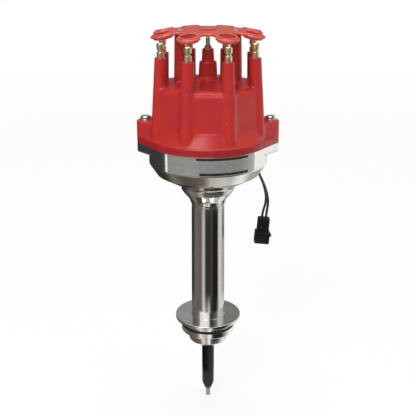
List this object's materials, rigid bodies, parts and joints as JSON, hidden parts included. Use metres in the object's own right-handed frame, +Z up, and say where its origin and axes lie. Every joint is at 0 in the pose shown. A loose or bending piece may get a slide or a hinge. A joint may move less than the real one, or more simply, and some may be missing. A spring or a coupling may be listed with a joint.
{
  "type": "ignition distributor",
  "caption": "Ignition distributor with a red towered cap, wire retainer, polished aluminium housing, advance mechanism, pickup lead and tongue drive shaft.",
  "frame": {"origin": "on the shaft's axis at the underside of the mounting flange, where the housing seats on the block", "axes": "+Z up the shaft to the cap, -Y to the front panel between two towers, +X to the ear beside the lead"},
  "size_m": [0.119, 0.1024, 0.3382],
  "materials": {
    "polished_aluminium": "polished, turned",
    "rubber": "matte",
    "bronze": "sintered",
    "bearing_steel": "ground",
    "black_oxide_steel": "black oxide",
    "zinc_steel": "zinc plated",
    "plain_steel": "ground",
    "magnet": "sintered",
    "coil_bobbin": "moulded",
    "nylon": "moulded",
    "red_cap": "moulded, satin gloss",
    "red_retainer": "moulded, satin",
    "rotor_plastic": "moulded",
    "brass": "turned",
    "carbon": "pressed carbon",
    "wire_jacket": "satin",
    "connector_plastic": "moulded, fine grain"
  },
  "bodies": {
    "housing": {"housing": "polished_aluminium", "pilot_o_ring": "rubber", "lower_bushing": "bronze", "bearing_outer_race": "bearing_steel", "bearing_shields": "bearing_steel", "bearing_snap_ring": "black_oxide_steel", "pickup_plate": "plain_steel", "pickup_pole": "plain_steel", "pickup_coil": "coil_bobbin", "pickup_magnet": "magnet", "pickup_screws": "zinc_steel", "pickup_wire_left": "wire_jacket", "pickup_wire_right": "wire_jacket", "lead_grommet": "rubber", "connector_body": "connector_plastic", "connector_contacts": "zinc_steel", "connector_latch": "connector_plastic", "distributor_cap": "red_cap", "coil_terminal": "zinc_steel", "carbon_button": "carbon", "button_spring": "zinc_steel", "wire_retainer": "red_retainer", "retainer_screws": "zinc_steel", "cap_washers": "zinc_steel", "cap_screws": "zinc_steel", "plug_terminal_1": "brass", "plug_terminal_2": "brass", "plug_terminal_3": "brass", "plug_terminal_4": "brass", "plug_terminal_5": "brass", "plug_terminal_6": "brass", "plug_terminal_7": "brass", "plug_terminal_8": "brass"},
    "shaft": {"main_shaft": "black_oxide_steel", "bearing_inner_race": "bearing_steel", "shaft_snap_ring": "black_oxide_steel", "thrust_washer": "bearing_steel", "advance_cam": "plain_steel", "cam_clip": "black_oxide_steel"},
    "timer": {"advance_sleeve": "plain_steel", "advance_plate": "plain_steel", "reluctor": "plain_steel", "reluctor_pin": "zinc_steel", "weight_pins": "zinc_steel", "stop_pin": "zinc_steel", "stop_bushing": "nylon", "spring_posts": "zinc_steel", "advance_spring_a": "zinc_steel", "advance_spring_b": "zinc_steel", "rotor_standoffs": "zinc_steel", "rotor": "rotor_plastic", "rotor_blade": "brass", "rotor_contact": "zinc_steel", "rotor_screws": "zinc_steel"},
    "weight_a": {"weight_a": "plain_steel"},
    "weight_b": {"weight_b": "plain_steel"},
    "ball_cage": {"bearing_cage": "bearing_steel", "bearing_balls": "bearing_steel"}
  },
  "joints": [
    {"name": "shaft_spin", "type": "hinge", "parent": "housing", "child": "shaft", "pos_m": [0, 0, 0], "axis": [0, 0, 1], "continuous": true},
    {"name": "cage_orbit", "type": "hinge", "parent": "housing", "child": "ball_cage", "pos_m": [0, 0, 0], "axis": [0, 0, 1], "continuous": true},
    {"name": "advance", "type": "hinge", "parent": "shaft", "child": "timer", "pos_m": [0, 0, 0], "axis": [0, 0, 1], "range_deg": [0, 14], "stiffness_Nm_per_rad": 0.5, "deforming": ["advance_spring_a", "advance_spring_b"]},
    {"name": "weight_a_swing", "type": "hinge", "parent": "timer", "child": "weight_a", "pos_m": [0.0175, 0.01, 0.16], "axis": [0, 0, 1], "range_deg": [0, 22.4]},
    {"name": "weight_b_swing", "type": "hinge", "parent": "timer", "child": "weight_b", "pos_m": [-0.0175, -0.01, 0.16], "axis": [0, 0, 1], "range_deg": [0, 22.4]}
  ],
  "couplings": [
    {"joint": "cage_orbit", "follows": "shaft_spin", "ratio": 0.381},
    {"joint": "weight_a_swing", "follows": "advance", "ratio": 1.6},
    {"joint": "weight_b_swing", "follows": "advance", "ratio": 1.6}
  ]
}
